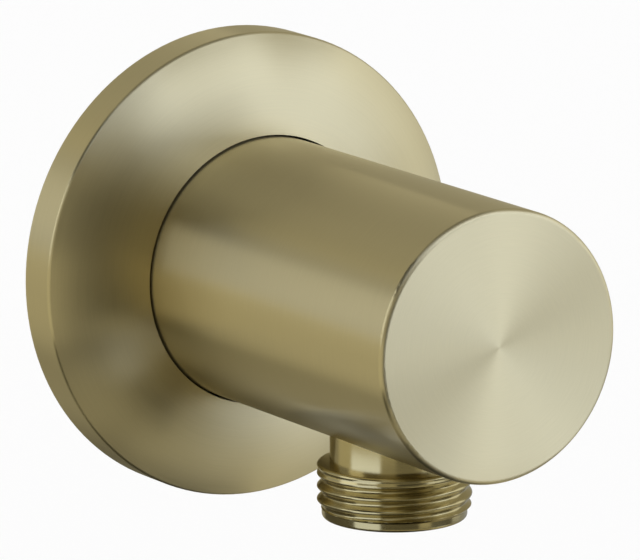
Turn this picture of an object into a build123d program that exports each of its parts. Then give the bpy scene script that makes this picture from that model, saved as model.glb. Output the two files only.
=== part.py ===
from build123d import *
import math
import os

# Wall outlet elbow for a shower hose: barrel, cover flange, wall connector and hose nipple.
# Millimetres. The wall is the plane y = 0 and the barrel comes out of it along -Y.
# The hose outlet points down. The origin is where the barrel's axis meets the wall.

# Pipe thread G 1/2, shared by the wall end and the hose end, plain at its crest
thread_radius = 10.4775
thread_depth = 0.6
lead_relief = 0.05

# Water bore of the two nipples and the hexagon keys
nipple_bore = 5.5
key_across_flats = 12.0
hexagon_sides = 6

# Barrel
barrel_radius = 18.5
barrel_front = 67.5
front_edge = 0.7
rear_chamfer = 0.8
waterway_radius = 6.0

# Wall connector
inlet_thread = 11.0
inlet_chamfer = 1.0
collar_radius = 13.0
collar_thickness = 3.0
spigot_radius = 9.6
spigot_end = 30.0
spigot_chamfer = 0.8
inlet_key_depth = 4.2
socket_clearance = 0.1
socket_end_gap = 1.0

# Seals: each ring fills the height of its groove and has room beside it
seal_width = 2.0
seal_side_room = 0.2
seal_corner = 0.6
spigot_seal_depth = 1.6
spigot_seal_rear = 19.5
spigot_seal_front = 23.5
neck_seal_depth = 1.4
neck_seal_gap = 1.2
hub_seal_depth = 1.5
hub_seal_place = 5.4

# Grub screw, driven from below into a ring groove of the spigot
grub_radius = 2.5
grub_recess = 1.7
grub_place = 14.0
grub_tip_chamfer = 0.5
grub_key_across_flats = 2.5
grub_key_depth = 2.5
grub_groove_depth = 0.8
grub_groove_width = 6.0

# Cover flange
flange_radius = 32.5
flange_rim = 6.0
flange_rise = 4.0
flange_edge = 0.6
flange_wall = 2.0
rim_wall = 2.0
flange_clearance = 0.3
hub_wall = 3.0
hub_wall_gap = 2.5
gasket_width = 5.0

# Hose outlet
outlet_place = 42.4
outlet_reach = 9.5
outlet_edge = 0.5
outlet_lead = 1.2
outlet_thread = 5.7
neck_radius = 8.75
neck_clearance = 0.05
neck_depth = 7.0
port_radius = 8.0
port_thread = 5.0
port_chamfer = 0.6
outlet_key_depth = 6.0

# Heights and radii that follow from these
lead_radius = thread_radius - thread_depth - lead_relief
socket_radius = spigot_radius + socket_clearance
socket_end = spigot_end + socket_end_gap
barrel_rear = collar_thickness
waterway_end = outlet_place + port_radius
flange_bore = barrel_radius + flange_clearance
hub_radius = flange_bore + hub_wall
rim_inner = flange_radius - rim_wall
gasket_inner = rim_inner - gasket_width
neck_bore = neck_radius + neck_clearance
neck_seat = barrel_radius - neck_depth
groove_room = seal_width + 2 * seal_side_room
spigot_groove = spigot_radius - spigot_seal_depth
neck_groove = neck_radius - neck_seal_depth
hub_groove = flange_bore + hub_seal_depth
neck_seal_place = neck_seat + neck_seal_gap + groove_room / 2
grub_groove = spigot_radius - grub_groove_depth
grub_end = barrel_radius - grub_recess
outlet_end = barrel_radius + outlet_reach
lead_top = outlet_end - outlet_lead
crest_bottom = lead_top - (thread_radius - lead_radius)
crest_top = crest_bottom - outlet_thread
dome_width = flange_radius - flange_bore
dome_radius = (dome_width**2 + flange_rise**2) / (2 * flange_rise)
outlet_axis = Axis((0, -outlet_place, 0), (0, 0, 1))
outlet_plane = Plane.XZ.offset(outlet_place)


def dome_point(radius, inset):
    """Point at a radius on the flange's domed front, or on a face inset behind it."""
    reach = math.sqrt((dome_radius - inset) ** 2 - (radius - flange_bore) ** 2)
    return (radius, dome_radius - reach - flange_rim - flange_rise)


def dome_arc(start, end, inset):
    """Line of the flange's dome from one radius to another."""
    middle = (start + end) / 2
    ThreePointArc(dome_point(start, inset), dome_point(middle, inset), dome_point(end, inset))


def lathe(points, axis, plane, mode=Mode.ADD):
    """Turn a closed outline of (radius, height) points about an axis."""
    with BuildSketch(plane) as outline:
        with BuildLine():
            Polyline(*points, close=True)
        make_face()
    revolve(outline.sketch, axis=axis, mode=mode)


def seal_ring(inner, outer, place, axis, plane):
    """Turn a rubber ring whose section has rounded corners."""
    with BuildSketch(plane) as section:
        with Locations(((inner + outer) / 2, place)):
            RectangleRounded(outer - inner, seal_width, seal_corner)
    revolve(section.sketch, axis=axis)


# Barrel with its rear socket, waterway, outlet port and grub screw hole
with BuildPart() as elbow_body:
    lathe(
        [
            (0, -barrel_rear),
            (barrel_radius - rear_chamfer, -barrel_rear),
            (barrel_radius, -barrel_rear - rear_chamfer),
            (barrel_radius, -barrel_front),
            (0, -barrel_front),
        ],
        Axis.Y,
        Plane.XY,
    )
    lathe(
        [
            (0, -barrel_rear),
            (socket_radius + rear_chamfer, -barrel_rear),
            (socket_radius, -barrel_rear - rear_chamfer),
            (socket_radius, -socket_end),
            (waterway_radius, -socket_end),
            (waterway_radius, -waterway_end),
            (0, -waterway_end),
        ],
        Axis.Y,
        Plane.XY,
        mode=Mode.SUBTRACT,
    )
    lathe(
        [
            (0, 0),
            (port_radius, 0),
            (port_radius, -neck_seat),
            (neck_bore, -neck_seat),
            (neck_bore, -barrel_radius),
            (0, -barrel_radius),
        ],
        outlet_axis,
        outlet_plane,
        mode=Mode.SUBTRACT,
    )
    with BuildSketch(Plane.XY.offset(-barrel_radius)):
        with Locations((0, -grub_place)):
            Circle(grub_radius)
    extrude(amount=barrel_radius, mode=Mode.SUBTRACT)
    fillet(elbow_body.faces().sort_by(Axis.Y)[0].edges(), front_edge)

# Cover flange: a shallow hollow dome with a straight rim and a hub round the barrel
with BuildPart() as wall_flange:
    with BuildSketch(Plane.XY) as flange_section:
        with BuildLine():
            Polyline(
                dome_point(flange_bore, 0),
                (flange_bore, -hub_wall_gap),
                (hub_radius, -hub_wall_gap),
                dome_point(hub_radius, flange_wall),
            )
            dome_arc(hub_radius, rim_inner, flange_wall)
            Polyline(
                dome_point(rim_inner, flange_wall),
                (rim_inner, 0),
                (flange_radius, 0),
                dome_point(flange_radius, 0),
            )
            dome_arc(flange_radius, flange_bore, 0)
        make_face()
        rim_corners = flange_section.vertices().sort_by(Axis.X)[-2:]
        fillet(rim_corners.sort_by(Axis.Y)[0], flange_edge)
    revolve(axis=Axis.Y)
    lathe(
        [
            (barrel_radius, -hub_seal_place + groove_room / 2),
            (hub_groove, -hub_seal_place + groove_room / 2),
            (hub_groove, -hub_seal_place - groove_room / 2),
            (barrel_radius, -hub_seal_place - groove_room / 2),
        ],
        Axis.Y,
        Plane.XY,
        mode=Mode.SUBTRACT,
    )

# Foam ring between the flange and the wall
with BuildPart() as wall_gasket:
    with BuildSketch(Plane.XY):
        with BuildLine():
            Polyline(
                dome_point(gasket_inner, flange_wall),
                (gasket_inner, 0),
                (rim_inner, 0),
                dome_point(rim_inner, flange_wall),
            )
            dome_arc(rim_inner, gasket_inner, flange_wall)
        make_face()
    revolve(axis=Axis.Y)

# Wall connector: thread, collar on the wall and spigot with two seal grooves
with BuildPart() as inlet_nipple:
    lathe(
        [
            (nipple_bore, inlet_thread),
            (thread_radius - inlet_chamfer, inlet_thread),
            (thread_radius, inlet_thread - inlet_chamfer),
            (thread_radius, 0),
            (collar_radius, 0),
            (collar_radius, -collar_thickness),
            (spigot_radius, -collar_thickness),
            (spigot_radius, -spigot_end + spigot_chamfer),
            (spigot_radius - spigot_chamfer, -spigot_end),
            (nipple_bore, -spigot_end),
        ],
        Axis.Y,
        Plane.XY,
    )
    for place, width, bottom in (
        (grub_place, grub_groove_width, grub_groove),
        (spigot_seal_rear, groove_room, spigot_groove),
        (spigot_seal_front, groove_room, spigot_groove),
    ):
        lathe(
            [
                (bottom, -place + width / 2),
                (collar_radius, -place + width / 2),
                (collar_radius, -place - width / 2),
                (bottom, -place - width / 2),
            ],
            Axis.Y,
            Plane.XY,
            mode=Mode.SUBTRACT,
        )
    with BuildSketch(Plane.XZ.offset(spigot_end)):
        RegularPolygon(key_across_flats / 2, hexagon_sides, major_radius=False)
    extrude(amount=-inlet_key_depth, mode=Mode.SUBTRACT)

# Hose nipple: port thread, sealed neck, pipe thread and plain lead
with BuildPart() as outlet_nipple:
    lathe(
        [
            (nipple_bore, port_thread - neck_seat),
            (port_radius - port_chamfer, port_thread - neck_seat),
            (port_radius, port_thread - neck_seat - port_chamfer),
            (port_radius, -neck_seat),
            (neck_radius, -neck_seat),
            (neck_radius, -crest_top),
            (thread_radius, -crest_top),
            (thread_radius, -crest_bottom),
            (lead_radius, -lead_top),
            (lead_radius, -outlet_end),
            (nipple_bore, -outlet_end),
        ],
        outlet_axis,
        outlet_plane,
    )
    lead_edge = outlet_nipple.faces().sort_by(Axis.Z)[0].edges().sort_by(SortBy.RADIUS)[-1]
    fillet(lead_edge, outlet_edge)
    lathe(
        [
            (neck_groove, groove_room / 2 - neck_seal_place),
            (neck_bore, groove_room / 2 - neck_seal_place),
            (neck_bore, -groove_room / 2 - neck_seal_place),
            (neck_groove, -groove_room / 2 - neck_seal_place),
        ],
        outlet_axis,
        outlet_plane,
        mode=Mode.SUBTRACT,
    )
    with BuildSketch(Plane.XY.offset(-outlet_end)):
        with Locations((0, -outlet_place)):
            RegularPolygon(key_across_flats / 2, hexagon_sides, major_radius=False)
    extrude(amount=outlet_key_depth, mode=Mode.SUBTRACT)

# Rubber seals
with BuildPart() as inlet_o_ring_rear:
    seal_ring(spigot_groove, socket_radius, -spigot_seal_rear, Axis.Y, Plane.XY)
with BuildPart() as inlet_o_ring_front:
    seal_ring(spigot_groove, socket_radius, -spigot_seal_front, Axis.Y, Plane.XY)
with BuildPart() as flange_o_ring:
    seal_ring(barrel_radius, hub_groove, -hub_seal_place, Axis.Y, Plane.XY)
with BuildPart() as outlet_o_ring:
    seal_ring(neck_groove, neck_bore, -neck_seal_place, outlet_axis, outlet_plane)

# Grub screw with a hexagon socket, its tip on the spigot's ring groove
with BuildPart() as grub_screw:
    with BuildSketch(Plane.XY.offset(-grub_end)):
        with Locations((0, -grub_place)):
            Circle(grub_radius)
    extrude(amount=grub_end - grub_groove)
    chamfer(grub_screw.faces().sort_by(Axis.Z)[-1].edges(), grub_tip_chamfer)
    with BuildSketch(Plane.XY.offset(-grub_end)):
        with Locations((0, -grub_place)):
            RegularPolygon(grub_key_across_flats / 2, hexagon_sides, major_radius=False)
    extrude(amount=grub_key_depth, mode=Mode.SUBTRACT)

os.makedirs("parts", exist_ok=True)
pieces = {
    "elbow_body": elbow_body,
    "wall_flange": wall_flange,
    "wall_gasket": wall_gasket,
    "inlet_nipple": inlet_nipple,
    "outlet_nipple": outlet_nipple,
    "inlet_o_ring_rear": inlet_o_ring_rear,
    "inlet_o_ring_front": inlet_o_ring_front,
    "flange_o_ring": flange_o_ring,
    "outlet_o_ring": outlet_o_ring,
    "grub_screw": grub_screw,
}
for name, piece in pieces.items():
    piece.part.label = name
    export_step(piece.part, f"parts/{name}.step")
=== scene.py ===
import math

import bmesh
import bpy
from mathutils import Matrix, Vector


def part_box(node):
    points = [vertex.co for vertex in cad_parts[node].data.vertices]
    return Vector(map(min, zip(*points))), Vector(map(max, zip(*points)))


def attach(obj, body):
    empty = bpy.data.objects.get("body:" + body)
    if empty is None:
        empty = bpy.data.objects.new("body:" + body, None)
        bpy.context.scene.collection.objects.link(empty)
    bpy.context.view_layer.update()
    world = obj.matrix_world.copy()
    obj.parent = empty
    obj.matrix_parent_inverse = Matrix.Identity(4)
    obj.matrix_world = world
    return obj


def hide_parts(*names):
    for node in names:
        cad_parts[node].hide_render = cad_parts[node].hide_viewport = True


# Looks of the wall outlet elbow: finishes, cut threads, studio and camera. Lengths in metres.
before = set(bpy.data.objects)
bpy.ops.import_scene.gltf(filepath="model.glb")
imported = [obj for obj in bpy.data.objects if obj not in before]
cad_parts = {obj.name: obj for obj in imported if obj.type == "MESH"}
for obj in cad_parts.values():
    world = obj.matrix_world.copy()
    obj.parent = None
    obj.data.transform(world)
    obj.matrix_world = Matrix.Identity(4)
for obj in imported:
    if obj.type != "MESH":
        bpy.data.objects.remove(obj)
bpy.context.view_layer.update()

MM = 0.001
TURN = 2 * math.pi
RIGHT_ANGLE = 90

# Pipe thread G 1/2 with round crests and roots
THREAD_RADIUS = 10.4775 * MM
THREAD_PITCH = 1.814 * MM
THREAD_DEPTH = 0.7 * MM
THREAD_RUN_OUT = 1.5 * MM

# Nipples, as in the CAD model apart from the round on the ledge's edge
NIPPLE_BORE = 5.5 * MM
KEY_ACROSS_FLATS = 12 * MM
OUTLET_PLACE = 42.4 * MM
OUTLET_THREAD = 5.7 * MM
OUTLET_LEAD = 1.2 * MM
OUTLET_EDGE = 0.5 * MM
OUTLET_KEY_DEPTH = 6 * MM
LEAD_RADIUS = 9.8275 * MM
NECK_RADIUS = 8.75 * MM
LEDGE_EDGE = 0.4 * MM
NECK_GROOVE = 7.35 * MM
NECK_SEAT = 11.5 * MM
NECK_GROOVE_TOP = 12.7 * MM
PORT_RADIUS = 8 * MM
PORT_CHAMFER = 0.6 * MM
GROOVE_ROOM = 2.4 * MM
INLET_CHAMFER = 1 * MM
INLET_KEY_DEPTH = 4.2 * MM
COLLAR_RADIUS = 13 * MM
COLLAR_THICKNESS = 3 * MM
SPIGOT_RADIUS = 9.6 * MM
SPIGOT_CHAMFER = 0.8 * MM
SPIGOT_GROOVE = 8 * MM
SPIGOT_SEALS = (19.5 * MM, 23.5 * MM)
GRUB_GROOVE = 8.8 * MM
GRUB_GROOVE_WIDTH = 6 * MM
GRUB_PLACE = 14 * MM

# A point on each turned axis
BARREL_CENTRE = (0, 0, 0)
OUTLET_CENTRE = (0, -OUTLET_PLACE, 0)
SCREW_CENTRE = (0, -GRUB_PLACE, 0)

# Mesh fineness
SIDES = 192
RING_STEP = 0.06 * MM
EDGE_STEPS = 6
SHARP_ANGLE = math.radians(30)

# Metal finishes: colour, lowest and highest roughness, and how far the brushing draws out the shine
BRUSHED_COLOUR = (0.63, 0.55, 0.33)
BRUSHED_ROUGHNESS = (0.28, 0.36)
BRUSHED_ANISOTROPY = 0.9
POLISHED_COLOUR = (0.46, 0.39, 0.2)
POLISHED_ROUGHNESS = (0.18, 0.24)
POLISHED_ANISOTROPY = 0.5
RAW_COLOUR = (0.71, 0.56, 0.29)
RAW_ROUGHNESS = (0.2, 0.3)
RAW_ANISOTROPY = 0.5
STEEL_COLOUR = (0.55, 0.55, 0.56)
STEEL_ROUGHNESS = (0.25, 0.35)
STEEL_ANISOTROPY = 0.3

# Brushed lines: how close, how uneven round the axis, noise detail, brightness, and turn of the shine
LINE_FINENESS = 6000.0
LINE_WANDER = 3.0
LINE_DETAIL = 2.0
LINE_SHADES = (0.95, 1.05)
SHINE_TURN = 0.25

# Rubber finishes: colour, grain, lowest and highest roughness, and brightness of the grain
FOAM_COLOUR = (0.06, 0.06, 0.06)
FOAM_GRAIN = 1500
FOAM_ROUGHNESS = (0.75, 0.95)
SEAL_COLOUR = (0.03, 0.03, 0.03)
SEAL_GRAIN = 3000
SEAL_ROUGHNESS = (0.35, 0.55)
RUBBER_SHADES = (0.7, 1.3)

# Camera, fitted to the photograph's edges; angles in degrees
PHOTO_WIDTH = 640
FOCAL_PIXELS = 7388.0
SENSOR_WIDTH = 36.0
VIEW_AZIMUTH = -32.5
VIEW_ELEVATION = 12.3
VIEW_DISTANCE = 1.0
VIEW_TARGET = Vector((0, -30 * MM, 0))
VIEW_RIGHT_SHIFT = -3.38 * MM
VIEW_UP_SHIFT = 2.15 * MM

# Surroundings and floor
WORLD_COLOUR = (1, 1, 1)
WORLD_STRENGTH = 1.0
FLOOR_COLOUR = (0.98, 0.98, 0.98)
FLOOR_ROUGHNESS = 1.0
FLOOR_DROP = 0.3
FLOOR_SIZE = 8.0

# Light panels: colours, distances, and the angle that one face of a panel spans in degrees
WARM_LIGHT = (1.0, 0.94, 0.7)
PLAIN_LIGHT = (1.0, 1.03, 1.05)
COOL_LIGHT = (1.0, 1.1, 1.35)
PANEL_DISTANCE = 1.0
PANEL_SPACING = 0.01
PANEL_STEP = 6
NIPPLE_DROP = 24 * MM
NIPPLE_MIDDLE = Vector((0, -OUTLET_PLACE, -NIPPLE_DROP))
FLAG_DISTANCE = 0.042
CARD_DISTANCE = 0.021
CARD_SPACING = 0.0002

# Each panel: name, azimuths and elevations that it spans in degrees, colour and strength
PANELS = (
    ("surround", (-180, 180), (-90, 90), WARM_LIGHT, 0.4),
    ("overhead_flag", (-180, 180), (60, 90), WARM_LIGHT, 0.15),
    ("ground_flag", (-180, 180), (-90, -60), WARM_LIGHT, 0.0),
    ("left_high_flag", (-120, -54), (30, 60), WARM_LIGHT, 0.0),
    ("left_flag", (-90, -60), (0, 30), WARM_LIGHT, 0.3),
    ("left_box", (-120, -90), (0, 30), PLAIN_LIGHT, 1.5),
    ("left_far_box", (-150, -120), (0, 30), PLAIN_LIGHT, 0.5),
    ("left_low_box", (-150, -30), (-30, 0), WARM_LIGHT, 0.65),
    ("under_left_flag", (-108, -54), (-60, -30), WARM_LIGHT, 0.0),
    ("back_box", (150, 210), (0, 30), WARM_LIGHT, 0.8),
    ("under_back_flag", (144, 180), (-60, -30), WARM_LIGHT, 0.15),
    ("right_low_flag", (60, 150), (-30, 0), PLAIN_LIGHT, 0.4),
    ("right_box", (60, 90), (-15, 30), PLAIN_LIGHT, 1.15),
    ("camera_high_box", (-54, 0), (30, 60), COOL_LIGHT, 0.7),
    ("camera_flag", (-30, 30), (-30, 15), WARM_LIGHT, 0.05),
    ("under_front_box", (0, 90), (-60, -45), WARM_LIGHT, 0.65),
    ("front_box_high", (0, 45), (30, 45), COOL_LIGHT, 1.5),
    ("front_box_upper", (0, 60), (15, 30), COOL_LIGHT, 1.5),
    ("front_box_middle", (30, 60), (0, 15), COOL_LIGHT, 1.05),
    ("front_box_low", (15, 45), (-15, 0), COOL_LIGHT, 1.5),
    ("front_box_lower", (30, 60), (-30, -15), COOL_LIGHT, 1.15),
    ("front_box_foot", (45, 75), (-45, -30), PLAIN_LIGHT, 0.8),
)
NIPPLE_FLAGS = (
    ("thread_flag", (-60, 60), (-26, -8), WARM_LIGHT, 0.12),
    ("thread_side_card", (2, 20), (-22, -8), WARM_LIGHT, 0.6),
    ("neck_flag", (-54, 14), (-8, -2), WARM_LIGHT, 0.45),
    ("neck_side_card", (14, 36), (-8, -2), WARM_LIGHT, 0.6),
)
NIPPLE_CARDS = (
    ("thread_left_flag", (-150, -50), (-60, -4), WARM_LIGHT, 0.12),
    ("thread_card", (-84, -50), (-32, -4), COOL_LIGHT, 1.1),
    ("neck_card", (-100, -53), (-4, 9), COOL_LIGHT, 1.3),
)


# Materials


def new_material(name):
    """A material with a plain shader; returns both."""
    material = bpy.data.materials.new(name)
    material.use_nodes = True
    return material, material.node_tree.nodes["Principled BSDF"]


def math_node(tree, operation, first, second=None):
    """Result of one Math node; each input is a socket or a number."""
    node = tree.nodes.new("ShaderNodeMath")
    node.operation = operation
    for socket, value in zip(node.inputs, (first, second)):
        if isinstance(value, bpy.types.NodeSocket):
            tree.links.new(value, socket)
        elif value is not None:
            socket.default_value = value
    return node.outputs[0]


def shade_range(tree, factor, colour, shades):
    """The colour times a brightness that runs from the first shade to the second with the factor."""
    ramp = tree.nodes.new("ShaderNodeValToRGB")
    for stop, shade in zip(ramp.color_ramp.elements, shades):
        stop.color = (*[shade * part for part in colour], 1)
    tree.links.new(factor, ramp.inputs["Fac"])
    return ramp.outputs["Color"]


def number_range(tree, factor, limits):
    """A number that runs from the first limit to the second with the factor."""
    node = tree.nodes.new("ShaderNodeMapRange")
    node.inputs["To Min"].default_value = limits[0]
    node.inputs["To Max"].default_value = limits[1]
    tree.links.new(factor, node.inputs["Value"])
    return node.outputs["Result"]


def lathe_lines(tree, axis, centre):
    """Noise drawn out round a turned axis, as brushing on a lathe leaves it."""
    place = tree.nodes.new("ShaderNodeTexCoord").outputs["Object"]
    shifted = tree.nodes.new("ShaderNodeVectorMath")
    shifted.operation = "SUBTRACT"
    shifted.inputs[1].default_value = centre
    tree.links.new(place, shifted.inputs[0])
    split = tree.nodes.new("ShaderNodeSeparateXYZ")
    tree.links.new(shifted.outputs[0], split.inputs[0])
    along = split.outputs[axis]
    across = [split.outputs[name] for name in "XYZ" if name != axis]
    squares = [math_node(tree, "MULTIPLY", part, part) for part in across]
    radius = math_node(tree, "SQRT", math_node(tree, "ADD", squares[0], squares[1]))
    directions = [math_node(tree, "DIVIDE", part, radius) for part in across]
    joined = tree.nodes.new("ShaderNodeCombineXYZ")
    tree.links.new(math_node(tree, "MULTIPLY", radius, LINE_FINENESS), joined.inputs["X"])
    tree.links.new(math_node(tree, "MULTIPLY", along, LINE_FINENESS), joined.inputs["Y"])
    tree.links.new(math_node(tree, "MULTIPLY", directions[0], LINE_WANDER), joined.inputs["Z"])
    noise = tree.nodes.new("ShaderNodeTexNoise")
    noise.noise_dimensions = "4D"
    noise.inputs["Scale"].default_value = 1.0
    noise.inputs["Detail"].default_value = LINE_DETAIL
    tree.links.new(joined.outputs[0], noise.inputs["Vector"])
    tree.links.new(math_node(tree, "MULTIPLY", directions[1], LINE_WANDER), noise.inputs["W"])
    return noise.outputs["Fac"]


def turned_metal(name, colour, roughness, anisotropy, axis, centre):
    """Metal brushed in circles round an axis."""
    material, shader = new_material(name)
    tree = material.node_tree
    lines = lathe_lines(tree, axis, centre)
    tree.links.new(shade_range(tree, lines, colour, LINE_SHADES), shader.inputs["Base Color"])
    tree.links.new(number_range(tree, lines, roughness), shader.inputs["Roughness"])
    tangent = tree.nodes.new("ShaderNodeTangent")
    tangent.direction_type = "RADIAL"
    tangent.axis = axis
    tree.links.new(tangent.outputs["Tangent"], shader.inputs["Tangent"])
    shader.inputs["Metallic"].default_value = 1.0
    shader.inputs["Anisotropic"].default_value = anisotropy
    shader.inputs["Anisotropic Rotation"].default_value = SHINE_TURN
    return material


def rubber(name, colour, grain, roughness):
    """Dull rubber with a fine grain."""
    material, shader = new_material(name)
    tree = material.node_tree
    place = tree.nodes.new("ShaderNodeTexCoord").outputs["Object"]
    noise = tree.nodes.new("ShaderNodeTexNoise")
    noise.inputs["Scale"].default_value = grain
    tree.links.new(place, noise.inputs["Vector"])
    specks = noise.outputs["Fac"]
    tree.links.new(shade_range(tree, specks, colour, RUBBER_SHADES), shader.inputs["Base Color"])
    tree.links.new(number_range(tree, specks, roughness), shader.inputs["Roughness"])
    return material


def finish(piece, material):
    """Give a piece one material."""
    piece.data.materials.clear()
    piece.data.materials.append(material)


# Nipples with cut threads


def thread_dip(along, turn):
    """Depth of the thread's groove at a place along the axis and a turn about it."""
    phase = (along / THREAD_PITCH - turn / TURN) % 1.0
    return THREAD_DEPTH * (1 + math.cos(TURN * phase)) / 2


def round_radius(radius):
    """The outline of a round ring, for any turn."""
    return lambda turn: radius


def hexagon_radius(turn):
    """The outline of the key socket at a turn."""
    sixth = TURN / 6
    return KEY_ACROSS_FLATS / 2 / math.cos((turn + sixth / 2) % sixth - sixth / 2)


def threaded_radius(radius, along, depth_share):
    """The outline of a ring that the thread cuts."""
    return lambda turn: min(radius, THREAD_RADIUS - depth_share * thread_dip(along, turn))


def round_rings(points):
    """Plain rings through (radius, along) corners."""
    return [(round_radius(radius), along) for radius, along in points]


def threaded_rings(points, root, way):
    """Close rings from corner to corner, without the last; the thread deepens from its root one way."""
    rings = []
    for (radius, along), (next_radius, next_along) in zip(points, points[1:]):
        steps = math.ceil(math.hypot(next_radius - radius, next_along - along) / RING_STEP)
        for step in range(steps):
            share = step / steps
            spot = along + share * (next_along - along)
            depth_share = min(1.0, max(0.0, way * (spot - root) / THREAD_RUN_OUT))
            ring = threaded_radius(radius + share * (next_radius - radius), spot, depth_share)
            rings.append((ring, spot))
    return rings


def rounded_edge(radius, along, edge, way):
    """Corners of a quarter round from the side of a turned end to its face."""
    points = []
    for step in range(EDGE_STEPS + 1):
        turn = TURN / 4 * step / EDGE_STEPS
        fall = edge * math.sin(turn)
        points.append((radius - edge + edge * math.cos(turn), along + way * (fall - edge)))
    return points


def outlet_rings():
    """Rings of the hose nipple from its port end down its outside and up its bore."""
    low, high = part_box("outlet_nipple")
    end = low.z
    top = high.z
    lead_top = end + OUTLET_LEAD
    crest_bottom = lead_top + THREAD_RADIUS - LEAD_RADIUS
    crest_top = crest_bottom + OUTLET_THREAD
    ledge = rounded_edge(THREAD_RADIUS, crest_top, LEDGE_EDGE, 1)
    rings = round_rings(
        [
            (NIPPLE_BORE, top),
            (PORT_RADIUS - PORT_CHAMFER, top),
            (PORT_RADIUS, top - PORT_CHAMFER),
            (PORT_RADIUS, -NECK_SEAT),
            (NECK_RADIUS, -NECK_SEAT),
            (NECK_RADIUS, -NECK_GROOVE_TOP),
            (NECK_GROOVE, -NECK_GROOVE_TOP),
            (NECK_GROOVE, -NECK_GROOVE_TOP - GROOVE_ROOM),
            (NECK_RADIUS, -NECK_GROOVE_TOP - GROOVE_ROOM),
            (NECK_RADIUS, crest_top),
        ]
    )
    profile = ledge[::-1] + [(THREAD_RADIUS, crest_bottom), (LEAD_RADIUS, lead_top)]
    rings += threaded_rings(profile, crest_top - LEDGE_EDGE, -1)
    rings += round_rings([(LEAD_RADIUS, lead_top)])
    rings += round_rings(rounded_edge(LEAD_RADIUS, end, OUTLET_EDGE, -1))
    rings += [(hexagon_radius, end), (hexagon_radius, end + OUTLET_KEY_DEPTH)]
    rings += round_rings([(NIPPLE_BORE, end + OUTLET_KEY_DEPTH)])
    return rings


def inlet_rings():
    """Rings of the wall connector from its thread end along its outside and back along its bore."""
    low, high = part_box("inlet_nipple")
    end = high.y
    tip = low.y
    rings = round_rings([(NIPPLE_BORE, end), (THREAD_RADIUS - INLET_CHAMFER, end)])
    profile = [
        (THREAD_RADIUS - INLET_CHAMFER, end),
        (THREAD_RADIUS, end - INLET_CHAMFER),
        (THREAD_RADIUS, 0),
    ]
    rings += threaded_rings(profile, 0, 1)
    rings += round_rings(
        [
            (THREAD_RADIUS, 0),
            (COLLAR_RADIUS, 0),
            (COLLAR_RADIUS, -COLLAR_THICKNESS),
            (SPIGOT_RADIUS, -COLLAR_THICKNESS),
        ]
    )
    cuts = [(GRUB_PLACE, GRUB_GROOVE_WIDTH, GRUB_GROOVE)]
    cuts += [(place, GROOVE_ROOM, SPIGOT_GROOVE) for place in SPIGOT_SEALS]
    for place, width, bottom in cuts:
        rings += round_rings(
            [
                (SPIGOT_RADIUS, -place + width / 2),
                (bottom, -place + width / 2),
                (bottom, -place - width / 2),
                (SPIGOT_RADIUS, -place - width / 2),
            ]
        )
    rings += round_rings([(SPIGOT_RADIUS, tip + SPIGOT_CHAMFER), (SPIGOT_RADIUS - SPIGOT_CHAMFER, tip)])
    rings += [(hexagon_radius, tip), (hexagon_radius, tip + INLET_KEY_DEPTH)]
    rings += round_rings([(NIPPLE_BORE, tip + INLET_KEY_DEPTH)])
    return rings


def outlet_spot(radius, along, turn):
    """Place of a point on the hose nipple."""
    return (radius * math.cos(turn), radius * math.sin(turn) - OUTLET_PLACE, along)


def inlet_spot(radius, along, turn):
    """Place of a point on the wall connector."""
    return (radius * math.sin(turn), along, radius * math.cos(turn))


def turned_piece(name, rings, spot_of, replaced, material):
    """A closed turned piece from rings of (radius at a turn, place along the axis)."""
    turns = [TURN * side / SIDES for side in range(SIDES)]
    verts = [spot_of(ring(turn), along, turn) for ring, along in rings for turn in turns]
    faces = []
    for number in range(len(rings)):
        here = number * SIDES
        after = (number + 1) % len(rings) * SIDES
        for side in range(SIDES):
            beside = (side + 1) % SIDES
            faces.append((here + side, here + beside, after + beside, after + side))
    mesh = bpy.data.meshes.new(name)
    mesh.from_pydata(verts, [], faces)
    shape = bmesh.new()
    shape.from_mesh(mesh)
    bmesh.ops.recalc_face_normals(shape, faces=shape.faces)
    shape.to_mesh(mesh)
    shape.free()
    mesh.shade_smooth()
    mesh.set_sharp_from_angle(angle=SHARP_ANGLE)
    mesh.materials.append(material)
    piece = bpy.data.objects.new(name, mesh)
    bpy.context.scene.collection.objects.link(piece)
    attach(piece, "root")
    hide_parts(replaced)


# Camera and studio


def direction(azimuth, elevation):
    """Unit direction from the object; azimuth 0 is -Y and 90 is +X, in degrees."""
    turn = math.radians(azimuth)
    rise = math.radians(elevation)
    return Vector((math.sin(turn) * math.cos(rise), -math.cos(turn) * math.cos(rise), math.sin(rise)))


def place_camera():
    """The camera that saw the photograph."""
    back = direction(VIEW_AZIMUTH, VIEW_ELEVATION)
    right = direction(VIEW_AZIMUTH + RIGHT_ANGLE, 0)
    up = back.cross(right)
    data = bpy.data.cameras.new("camera")
    data.sensor_width = SENSOR_WIDTH
    data.lens = FOCAL_PIXELS / PHOTO_WIDTH * SENSOR_WIDTH
    camera = bpy.data.objects.new("camera", data)
    turn = Matrix((right, up, back)).transposed().to_4x4()
    spot = VIEW_TARGET + VIEW_DISTANCE * back + VIEW_RIGHT_SHIFT * right + VIEW_UP_SHIFT * up
    camera.matrix_world = Matrix.Translation(spot) @ turn
    bpy.context.scene.collection.objects.link(camera)
    bpy.context.scene.camera = camera


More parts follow.
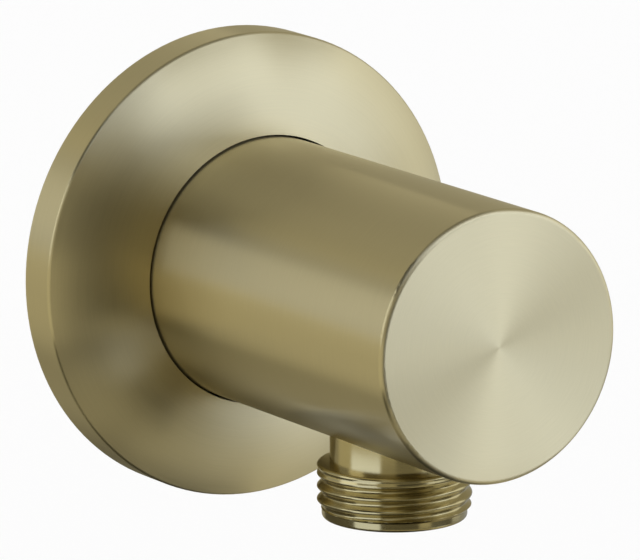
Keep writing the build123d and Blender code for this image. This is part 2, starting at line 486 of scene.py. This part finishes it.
def lay_floor():
    """A pale floor below the part that the metal does not reflect."""
    half = FLOOR_SIZE / 2
    corners = [(-half, -half, 0), (half, -half, 0), (half, half, 0), (-half, half, 0)]
    mesh = bpy.data.meshes.new("floor")
    mesh.from_pydata(corners, [], [(0, 1, 2, 3)])
    material, shader = new_material("floor")
    shader.inputs["Base Color"].default_value = (*FLOOR_COLOUR, 1)
    shader.inputs["Roughness"].default_value = FLOOR_ROUGHNESS
    mesh.materials.append(material)
    floor = bpy.data.objects.new("floor", mesh)
    floor.location.z = -FLOOR_DROP
    floor.visible_glossy = False
    bpy.context.scene.collection.objects.link(floor)


def glow_material(name, colour, strength):
    """A material that shines evenly."""
    material = bpy.data.materials.new(name)
    material.use_nodes = True
    tree = material.node_tree
    tree.nodes.clear()
    glow = tree.nodes.new("ShaderNodeEmission")
    glow.inputs["Color"].default_value = (*colour, 1)
    glow.inputs["Strength"].default_value = strength
    output = tree.nodes.new("ShaderNodeOutputMaterial")
    tree.links.new(glow.outputs[0], output.inputs["Surface"])
    return material


def panel(name, azimuths, elevations, colour, strength, distance, centre):
    """A curved panel round a centre that only the metal's reflections see."""
    columns = max(1, round((azimuths[1] - azimuths[0]) / PANEL_STEP))
    rows = max(1, round((elevations[1] - elevations[0]) / PANEL_STEP))
    verts = []
    for row in range(rows + 1):
        elevation = elevations[0] + (elevations[1] - elevations[0]) * row / rows
        for column in range(columns + 1):
            azimuth = azimuths[0] + (azimuths[1] - azimuths[0]) * column / columns
            verts.append(centre + distance * direction(azimuth, elevation))
    faces = []
    for row in range(rows):
        for column in range(columns):
            corner = row * (columns + 1) + column
            faces.append((corner, corner + 1, corner + columns + 2, corner + columns + 1))
    mesh = bpy.data.meshes.new(name)
    mesh.from_pydata(verts, [], faces)
    mesh.materials.append(glow_material(name, colour, strength))
    card = bpy.data.objects.new(name, mesh)
    bpy.context.scene.collection.objects.link(card)
    card.visible_camera = False
    card.visible_diffuse = False
    card.visible_shadow = False


def place_panels(panels, distance, spacing, centre):
    """Panels round a centre; each stands nearer than the one before it and covers it."""
    for number, settings in enumerate(panels):
        panel(*settings, distance - number * spacing, centre)


def light_studio():
    """White surroundings, the floor and the panels."""
    world = bpy.data.worlds.new("studio")
    bpy.context.scene.world = world
    world.use_nodes = True
    background = world.node_tree.nodes["Background"]
    background.inputs["Color"].default_value = (*WORLD_COLOUR, 1)
    background.inputs["Strength"].default_value = WORLD_STRENGTH
    lay_floor()
    place_panels(PANELS, PANEL_DISTANCE, PANEL_SPACING, VIEW_TARGET)
    place_panels(NIPPLE_FLAGS, FLAG_DISTANCE, CARD_SPACING, NIPPLE_MIDDLE)
    place_panels(NIPPLE_CARDS, CARD_DISTANCE, CARD_SPACING, NIPPLE_MIDDLE)


# Scene

light_studio()
place_camera()

brushed_body = turned_metal(
    "brushed_body", BRUSHED_COLOUR, BRUSHED_ROUGHNESS, BRUSHED_ANISOTROPY, "Y", BARREL_CENTRE
)
finish(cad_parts["elbow_body"], brushed_body)
finish(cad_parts["wall_flange"], brushed_body)
polished = turned_metal(
    "polished_brass", POLISHED_COLOUR, POLISHED_ROUGHNESS, POLISHED_ANISOTROPY, "Z", OUTLET_CENTRE
)
turned_piece("hose_nipple", outlet_rings(), outlet_spot, "outlet_nipple", polished)
raw = turned_metal("raw_brass", RAW_COLOUR, RAW_ROUGHNESS, RAW_ANISOTROPY, "Y", BARREL_CENTRE)
turned_piece("wall_connector", inlet_rings(), inlet_spot, "inlet_nipple", raw)
foam = rubber("foam_rubber", FOAM_COLOUR, FOAM_GRAIN, FOAM_ROUGHNESS)
finish(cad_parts["wall_gasket"], foam)
seal = rubber("seal_rubber", SEAL_COLOUR, SEAL_GRAIN, SEAL_ROUGHNESS)
for ring in ("inlet_o_ring_rear", "inlet_o_ring_front", "flange_o_ring", "outlet_o_ring"):
    finish(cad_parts[ring], seal)
steel = turned_metal("screw_steel", STEEL_COLOUR, STEEL_ROUGHNESS, STEEL_ANISOTROPY, "Z", SCREW_CENTRE)
finish(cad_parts["grub_screw"], steel)

bpy.context.scene.view_settings.view_transform = "Standard"
